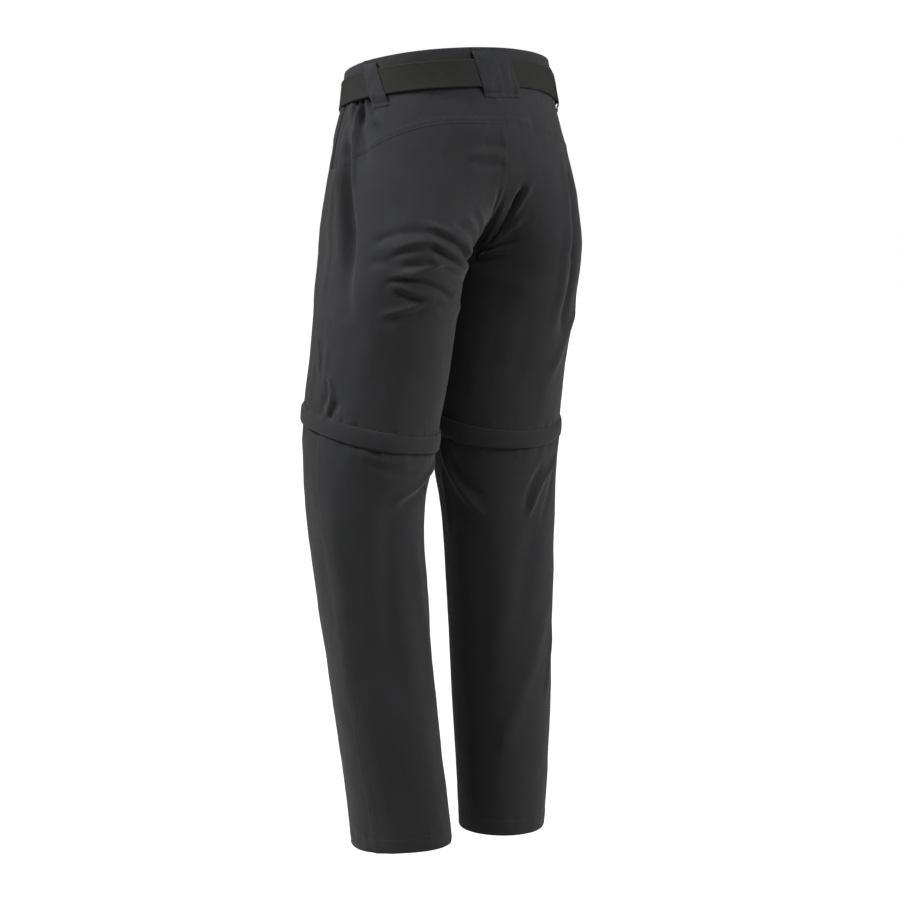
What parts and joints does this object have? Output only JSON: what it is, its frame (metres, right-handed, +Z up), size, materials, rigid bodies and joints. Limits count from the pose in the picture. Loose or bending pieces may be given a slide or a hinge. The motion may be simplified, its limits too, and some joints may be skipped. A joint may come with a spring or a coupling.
{
  "type": "convertible zip-off trousers",
  "caption": "Zip-off trousers in plain charcoal cloth with a webbing belt, back yoke, belt loops, slanted hand pockets and covered zips round the knees, filled out as worn.",
  "frame": {"origin": "centre of the waist opening, halfway up the waistband at the side seams", "axes": "+Z up, towards the waist's opening; the front faces -Y; the wearer's left is +X"},
  "size_m": [0.3788, 0.2513, 1.0549],
  "materials": {
    "cloth": "matt fine twill",
    "webbing": "matt ribbed webbing",
    "zip_tape": "matt woven tape with a nylon coil",
    "zip_slider": "dark satin enamel",
    "button": "satin",
    "buckle": "satin, fine grain"
  },
  "bodies": {
    "root": {"waistband": "cloth", "yoke_left": "cloth", "back_left": "cloth", "front_left": "cloth", "pocket_facing_left": "cloth", "lower_back_left": "cloth", "lower_front_left": "cloth", "knee_flap_left": "cloth", "zip_upper_left": "zip_tape", "zip_lower_left": "zip_tape", "zip_slider_left": "zip_slider", "yoke_right": "cloth", "back_right": "cloth", "front_right": "cloth", "pocket_facing_right": "cloth", "lower_back_right": "cloth", "lower_front_right": "cloth", "knee_flap_right": "cloth", "zip_upper_right": "zip_tape", "zip_lower_right": "zip_tape", "zip_slider_right": "zip_slider", "loop_back_wide": "cloth", "loop_side_left": "cloth", "loop_side_right": "cloth", "loop_front_left": "cloth", "loop_front_right": "cloth", "fly_shield": "cloth", "belt": "webbing", "belt_buckle": "buckle", "waist_button": "button"}
  },
  "joints": []
}
